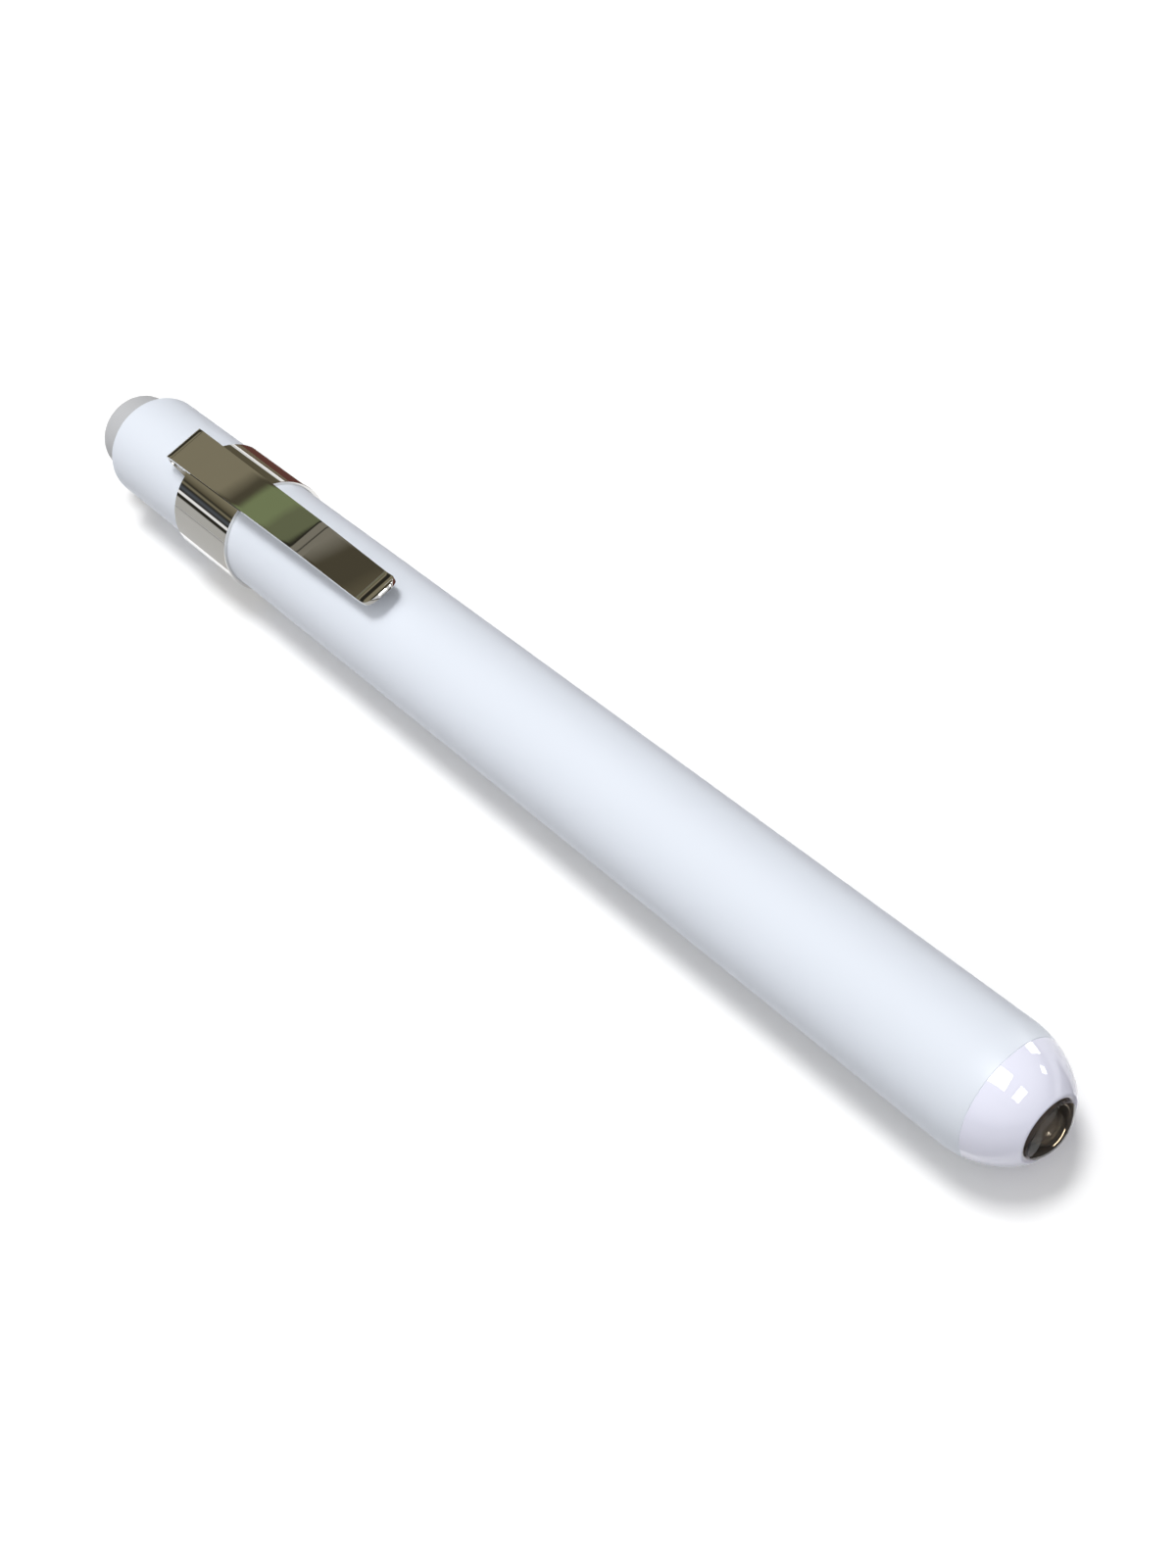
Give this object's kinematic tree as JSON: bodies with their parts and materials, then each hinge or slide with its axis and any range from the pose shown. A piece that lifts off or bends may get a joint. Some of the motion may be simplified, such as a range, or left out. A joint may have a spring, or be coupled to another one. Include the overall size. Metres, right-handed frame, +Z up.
{
  "type": "penlight",
  "caption": "Push-button pocket penlight: straight white tube with a domed nose and small lens bulb, a chrome pocket clip on a band, and a frosted button at the tail.",
  "frame": {"origin": "middle of the box, on the surface under the clip's band", "axes": "+X along the barrel from the button to the nose, +Z up through the clip's blade, +Y across"},
  "size_m": [0.1444, 0.0134, 0.0154],
  "materials": {
    "satin_white": "satin moulded white plastic",
    "gloss_white": "polished white plastic",
    "chrome_sheet": "bright chromed spring steel",
    "frosted_grey": "frosted translucent grey plastic",
    "brass": "plain brass",
    "nylon": "natural nylon",
    "spring_wire": "plated spring wire",
    "nickel_steel": "nickel-plated steel",
    "cell_jacket": "plain dark shrink sleeve",
    "black_seal": "black nylon",
    "black_glass": "black vitreous insulator",
    "solder": "solder",
    "clear_glass": "clear glass",
    "lead_wire": "nickel wire",
    "bead_glass": "blue-green glass bead",
    "tungsten": "coiled tungsten wire"
  },
  "bodies": {
    "casing": {"barrel": "satin_white", "nose_cap": "gloss_white", "pocket_clip": "chrome_sheet", "switch_bush": "nylon", "return_spring": "spring_wire", "battery_spring": "spring_wire", "contact_strip": "brass", "rear_cell_body": "nickel_steel", "rear_cell_jacket": "cell_jacket", "rear_cell_seal": "black_seal", "rear_cell_plate": "nickel_steel", "front_cell_body": "nickel_steel", "front_cell_jacket": "cell_jacket", "front_cell_seal": "black_seal", "front_cell_plate": "nickel_steel", "insulating_collar": "nylon", "contact_ring": "brass", "bulb_shell": "brass", "bulb_insulator": "black_glass", "bulb_tip_contact": "solder", "bulb_glass": "clear_glass", "bulb_leads": "lead_wire", "bulb_bead": "bead_glass", "bulb_filament": "tungsten"},
    "button": {"push_button": "frosted_grey", "plunger_pin": "brass", "contact_disc": "brass"}
  },
  "joints": [
    {"name": "button_press", "type": "slide", "parent": "casing", "child": "button", "axis": [1, 0, 0], "range_m": [0, 0.002], "stiffness_N_per_m": 600, "springref_m": -0.0025, "deforming": ["return_spring", "battery_spring"]}
  ]
}
